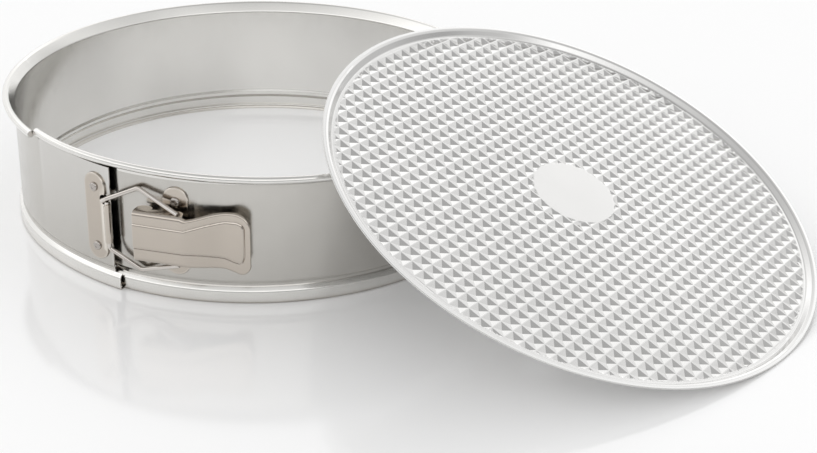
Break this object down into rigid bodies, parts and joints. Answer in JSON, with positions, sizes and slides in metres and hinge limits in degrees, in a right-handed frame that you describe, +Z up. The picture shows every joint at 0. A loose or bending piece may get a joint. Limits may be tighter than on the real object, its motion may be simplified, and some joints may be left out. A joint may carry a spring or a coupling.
{
  "type": "springform cake pan",
  "caption": "Round springform cake pan: a split tinplate band with rolled rim and foot bead, closed by an over-centre lever latch, and a loose waffle-stamped base leaning on its rim",
  "frame": {"origin": "middle of the bounding box's footprint, on the ground the pan stands on", "axes": "+Z up; +X along the longest extent, from the standing band towards the leaning base; -Y towards the side with the latch"},
  "size_m": [0.425, 0.3578, 0.0995],
  "materials": {
    "tinplate": "satin tinplate, half mirror",
    "base_tinplate": "bright tinplate, stamped waffle pattern",
    "latch_steel": "nickel-plated pressed steel",
    "rivet_steel": "nickel-plated steel",
    "wire": "drawn steel wire"
  },
  "bodies": {
    "band": {"band_right": "tinplate", "rim_wire_right": "wire", "latch_bracket": "latch_steel", "bracket_rivet_upper": "rivet_steel", "bracket_rivet_lower": "rivet_steel"},
    "band_end": {"band_left": "tinplate", "rim_wire_left": "wire", "keeper_plate": "latch_steel", "keeper_rivet_upper": "rivet_steel", "keeper_rivet_lower": "rivet_steel"},
    "lever": {"latch_lever": "latch_steel", "lever_pin": "rivet_steel"},
    "bail": {"bail_wire": "wire"},
    "base": {"base_plate": "base_tinplate"}
  },
  "joints": [
    {"name": "lever", "type": "hinge", "parent": "band", "child": "lever", "pos_m": [-0.11967, -0.08584, 0.0356], "axis": [0, 0, -1], "range_deg": [0, 110]},
    {"name": "band_open", "type": "hinge", "parent": "band", "child": "band_end", "pos_m": [-0.01388, 0.16411, 0.0356], "axis": [0, 0, -1], "range_deg": [0, 3.4]},
    {"name": "bail", "type": "hinge", "parent": "band_end", "child": "bail", "pos_m": [-0.1389, -0.07554, 0.0356], "axis": [0, 0, -1], "range_deg": [0, 25.3]},
    {"name": "base_lift", "type": "slide", "parent": "band", "child": "base", "axis": [0, 0, 1], "range_m": [0, 0.08]}
  ],
  "couplings": [
    {"joint": "band_open", "follows": "lever", "ratio": 0.030818},
    {"joint": "bail", "follows": "lever", "ratio": 0.22916}
  ]
}
